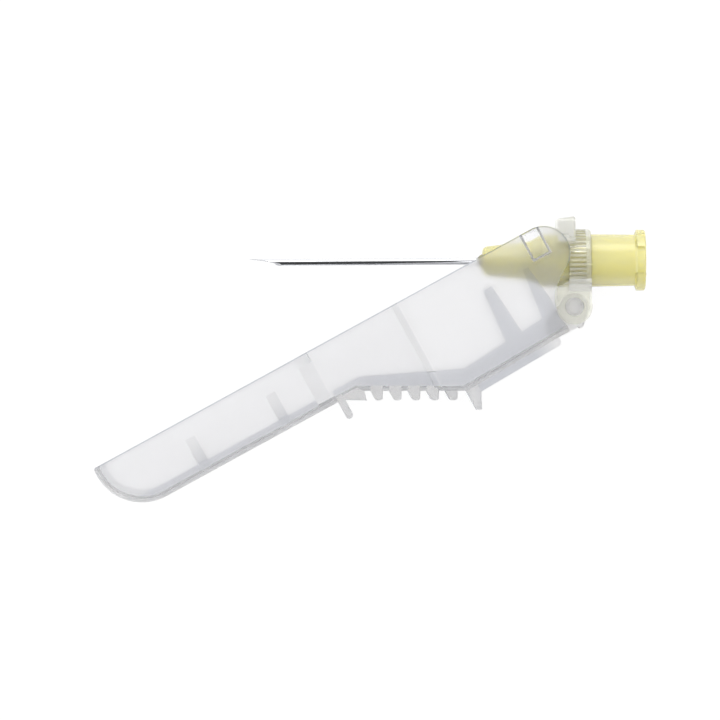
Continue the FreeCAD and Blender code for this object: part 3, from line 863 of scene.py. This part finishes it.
def light_room(settings):
    """Even light from all round. Gloss shows it dark below the tab's side, as a black card
    would make it, and clear plastic shows it dim towards the horizon."""
    world = bpy.data.worlds.new("studio")
    bpy.context.scene.world = world
    world.use_nodes = True
    tree = world.node_tree
    tree.nodes.clear()
    direction = add_node(tree, "ShaderNodeTexCoord").outputs["Generated"]
    card = ramp(tree, along(tree, direction, "Y"), *CARD_SPAN, settings.card, 1.0)
    above = ramp(tree, along(tree, direction, "Z"), *SKY_SPAN, settings.horizon, settings.sky)
    camera, glossy, through = seen_ways(tree)
    known = weighed(tree, [(camera, 1.0), (glossy, 1.0), (through, 1.0)])
    plain = maths(tree, "SUBTRACT", 1.0, known)
    pairs = [(camera, 1.0), (glossy, card), (through, above), (plain, settings.room_light)]
    white = {"Color": with_alpha((1, 1, 1)), "Strength": weighed(tree, pairs)}
    background = add_node(tree, "ShaderNodeBackground", white)
    output = tree.nodes.new("ShaderNodeOutputWorld")
    tree.links.new(background.outputs["Background"], output.inputs["Surface"])


def add_lamp(context, name, place, size, power):
    """A soft rectangular lamp that faces the object."""
    bpy.ops.object.light_add(type="AREA", location=place)
    lamp = context.active_object
    lamp.name = name
    lamp.data.shape = "RECTANGLE"
    lamp.data.size, lamp.data.size_y = size
    lamp.data.energy = power
    lamp.rotation_euler = (lamp.location - MIDDLE).to_track_quat("Z", "Y").to_euler()
    return lamp


def give(node_name, material):
    """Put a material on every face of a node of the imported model."""
    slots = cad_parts[node_name].material_slots
    for slot in slots:
        slot.material = material


class NEEDLE_OT_cannula(bpy.types.Operator):
    """Give the cannula its drawn steel"""

    bl_idname = "needle.cannula"
    bl_label = "Finish the cannula"

    def execute(self, context):
        give("cannula", drawn_steel(context.scene.needle_steel))
        return {"FINISHED"}


class NEEDLE_OT_hub(bpy.types.Operator):
    """Give the hub its yellow plastic"""

    bl_idname = "needle.hub"
    bl_label = "Finish the hub"

    def execute(self, context):
        give("needle_hub", yellow_polypropylene(context.scene.needle_hub))
        return {"FINISHED"}


class NEEDLE_OT_adhesive(bpy.types.Operator):
    """Give the bead round the cannula its clear adhesive"""

    bl_idname = "needle.adhesive"
    bl_label = "Finish the adhesive"

    def execute(self, context):
        give("glue_bead", clear_adhesive(context.scene.needle_adhesive))
        return {"FINISHED"}


class NEEDLE_OT_collar(bpy.types.Operator):
    """Give the turning collar its natural plastic"""

    bl_idname = "needle.collar"
    bl_label = "Finish the collar"

    def execute(self, context):
        finish = context.scene.needle_collar
        material = natural_polypropylene("natural polypropylene collar", finish, collar_skin)
        give("swivel_collar", material)
        return {"FINISHED"}


class NEEDLE_OT_sheath(bpy.types.Operator):
    """Give the hinged sheath its natural plastic"""

    bl_idname = "needle.sheath"
    bl_label = "Finish the sheath"

    def execute(self, context):
        finish = context.scene.needle_sheath
        material = natural_polypropylene("natural polypropylene sheath", finish, sheath_skin)
        give("sheath", material)
        return {"FINISHED"}


class NEEDLE_OT_stage(bpy.types.Operator):
    """Set the floor, the light and the camera"""

    bl_idname = "needle.stage"
    bl_label = "Set the stage"

    def execute(self, context):
        settings = context.scene.needle_studio
        bpy.ops.object.select_all(action="DESELECT")
        bpy.ops.mesh.primitive_plane_add(
            size=settings.floor_size, location=(0, 0, FRAME_LOW.z)
        )
        floor = context.active_object
        floor.name = "floor"
        floor.data.materials.append(white_floor(settings))
        light_room(settings)

        add_lamp(
            context, "key lamp", settings.key_place, settings.key_size, settings.key_power
        )
        fill = add_lamp(
            context, "fill lamp", settings.fill_place, settings.fill_size, settings.fill_power
        )
        fill.visible_glossy = False

        x, y = settings.aim
        bpy.ops.object.camera_add(location=(x, y, settings.camera_height))
        camera = context.active_object
        camera.rotation_euler = (0, 0, settings.roll)
        camera.data.sensor_width = SENSOR_WIDTH
        camera.data.lens = SENSOR_WIDTH * settings.camera_height / settings.view_width
        camera.data.clip_end = FAR_CLIP
        context.scene.camera = camera
        context.scene.view_settings.view_transform = "Standard"
        context.scene.cycles.volume_bounces = HAZE_TURNS
        context.scene.cycles.max_bounces = CLEAR_TURNS
        context.scene.cycles.transmission_bounces = CLEAR_TURNS
        return {"FINISHED"}


class NEEDLE_PT_panel(bpy.types.Panel):
    """Steps that finish the needle, in order"""

    bl_idname = "NEEDLE_PT_panel"
    bl_label = "Safety needle"
    bl_space_type = "VIEW_3D"
    bl_region_type = "UI"
    bl_category = "Needle"

    def draw(self, context):
        for group in SETTINGS:
            box = self.layout.box()
            settings = getattr(context.scene, group)
            for name in settings.bl_rna.properties.keys():
                if name not in {"rna_type", "name"}:
                    box.prop(settings, name)
        for step in STEPS:
            self.layout.operator(step.bl_idname)


SETTINGS = {
    "needle_steel": SteelFinish,
    "needle_hub": HubFinish,
    "needle_adhesive": AdhesiveFinish,
    "needle_collar": CollarFinish,
    "needle_sheath": SheathFinish,
    "needle_studio": StudioSettings,
}
STEPS = (
    NEEDLE_OT_cannula,
    NEEDLE_OT_hub,
    NEEDLE_OT_adhesive,
    NEEDLE_OT_collar,
    NEEDLE_OT_sheath,
    NEEDLE_OT_stage,
)


def register():
    for group, kind in SETTINGS.items():
        bpy.utils.register_class(kind)
        setattr(bpy.types.Scene, group, PointerProperty(type=kind))
    for step in STEPS:
        bpy.utils.register_class(step)
    bpy.utils.register_class(NEEDLE_PT_panel)


def unregister():
    bpy.utils.unregister_class(NEEDLE_PT_panel)
    for step in reversed(STEPS):
        bpy.utils.unregister_class(step)
    for group, kind in SETTINGS.items():
        delattr(bpy.types.Scene, group)
        bpy.utils.unregister_class(kind)


def main():
    """Register the add-on and run its steps in order."""
    register()
    bpy.ops.needle.cannula()
    bpy.ops.needle.hub()
    bpy.ops.needle.adhesive()
    bpy.ops.needle.collar()
    bpy.ops.needle.sheath()
    bpy.ops.needle.stage()


if __name__ == "__main__":
    main()
